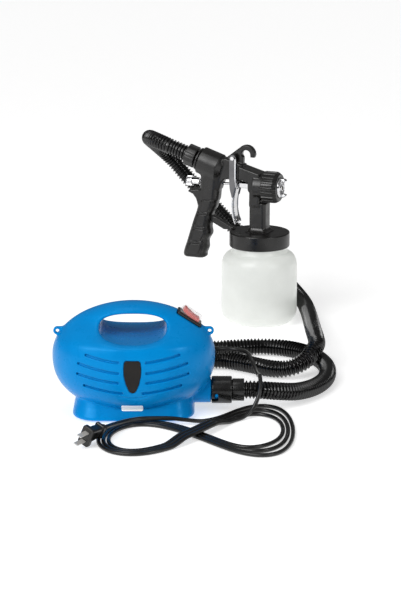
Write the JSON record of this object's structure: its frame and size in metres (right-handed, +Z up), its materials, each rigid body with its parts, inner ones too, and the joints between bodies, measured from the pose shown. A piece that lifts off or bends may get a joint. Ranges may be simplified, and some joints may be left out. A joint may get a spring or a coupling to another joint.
{
  "type": "turbine paint sprayer set",
  "caption": "Corded turbine paint sprayer: egg-shaped blower base with carry handle and switch, ribbed air hose, trigger spray gun standing on its paint cup, and a hanked mains lead with plug.",
  "frame": {"origin": "on the floor, midway between the outer edges of base unit and gun", "axes": "+Z up, +X to the right seen from the base's front, +Y from the base unit back toward the gun"},
  "size_m": [0.379, 0.8539, 0.2773],
  "materials": {
    "blue": "satin blue moulded plastic",
    "black": "black moulded plastic",
    "rubber": "matt black rubber",
    "red": "red gloss plastic",
    "clear": "clear soft plastic",
    "white": "milky translucent plastic",
    "steel": "bare steel",
    "chrome": "bright chrome",
    "brass": "brass",
    "copper": "lacquered copper winding",
    "foam": "grey filter foam"
  },
  "bodies": {
    "set": {"front_housing": "blue", "rear_housing": "blue", "outlet_spout": "blue", "front_inlay": "black", "switch_bezel": "black", "hose_sleeve": "black", "air_hose": "black", "gun_body": "black", "cup_lid": "black", "rubber_foot_1": "rubber", "rubber_foot_2": "rubber", "rubber_foot_3": "rubber", "rubber_foot_4": "rubber", "front_mount_ring": "rubber", "rear_mount_ring": "rubber", "cord_gland": "rubber", "power_cord_run": "rubber", "power_cord_hank": "rubber", "plug_body": "rubber", "switch_boot": "clear", "lid_gasket": "white", "pickup_tube": "white", "needle_packing": "white", "housing_screw_1": "steel", "housing_screw_2": "steel", "housing_screw_3": "steel", "housing_screw_4": "steel", "fan_case": "steel", "fan_back_plate": "steel", "stator": "steel", "rear_bracket": "steel", "needle_spring": "steel", "knob_lock_nut": "steel", "trigger_pin": "chrome", "packing_nut": "chrome", "front_bearing": "chrome", "rear_bearing": "chrome", "fluid_nozzle": "brass", "plug_blade_1": "brass", "plug_blade_2": "brass", "front_brush_holder": "brass", "rear_brush_holder": "brass", "front_field_coil": "copper", "rear_field_coil": "copper", "air_filter": "foam"},
    "switch_rocker": {"switch_rocker": "red"},
    "rotor": {"armature": "copper", "motor_shaft": "steel", "impeller": "steel"},
    "trigger": {"trigger": "chrome"},
    "needle": {"needle": "chrome"},
    "flow_knob": {"flow_knob": "steel"},
    "air_cap": {"air_cap": "chrome"},
    "retaining_ring": {"retaining_ring": "black"},
    "paint_cup": {"paint_cup": "white"},
    "hose_collar": {"hose_collar": "black"},
    "inlet_nut": {"inlet_nut": "black"}
  },
  "joints": [
    {"name": "switch_rock", "type": "hinge", "parent": "set", "child": "switch_rocker", "pos_m": [0.01244, -0.22245, 0.13228], "axis": [0, -1, 0], "range_deg": [0, 18]},
    {"name": "rotor_spin", "type": "hinge", "parent": "set", "child": "rotor", "pos_m": [-0.06275, -0.22245, 0.06], "axis": [1, 0, 0], "continuous": true},
    {"name": "trigger_pull", "type": "hinge", "parent": "set", "child": "trigger", "pos_m": [0.07639, 0.24856, 0.249], "axis": [0.3746, 0.9272, 0], "range_deg": [0, 10], "stiffness_Nm_per_rad": 0.8, "springref_deg": -8.59},
    {"name": "needle_slide", "type": "slide", "parent": "set", "child": "needle", "axis": [-0.9272, 0.3746, 0], "range_m": [0, 0.0073], "deforming": ["needle_spring"]},
    {"name": "knob_turn", "type": "hinge", "parent": "set", "child": "flow_knob", "pos_m": [0.11255, 0.23395, 0.2078], "axis": [0.9272, -0.3746, 0], "range_deg": [0, 720]},
    {"name": "air_cap_turn", "type": "hinge", "parent": "set", "child": "air_cap", "pos_m": [0.11255, 0.23395, 0.2078], "axis": [0.9272, -0.3746, 0], "range_deg": [-90, 90]},
    {"name": "ring_turn", "type": "hinge", "parent": "set", "child": "retaining_ring", "pos_m": [0.11255, 0.23395, 0.2078], "axis": [0.9272, -0.3746, 0], "range_deg": [0, 540]},
    {"name": "cup_turn", "type": "hinge", "parent": "set", "child": "paint_cup", "pos_m": [0.11255, 0.23395, 0], "axis": [0, 0, 1], "range_deg": [0, 360]},
    {"name": "collar_turn", "type": "hinge", "parent": "set", "child": "hose_collar", "pos_m": [-0.06275, -0.22245, 0.03], "axis": [-1, 0, 0], "range_deg": [0, 25]},
    {"name": "nut_turn", "type": "hinge", "parent": "set", "child": "inlet_nut", "pos_m": [0.0203, 0.27122, 0.2428], "axis": [-0.8793, 0.3552, 0.3173], "range_deg": [0, 360]}
  ],
  "couplings": [
    {"joint": "needle_slide", "follows": "trigger_pull", "m_per_rad": 0.0412}
  ]
}
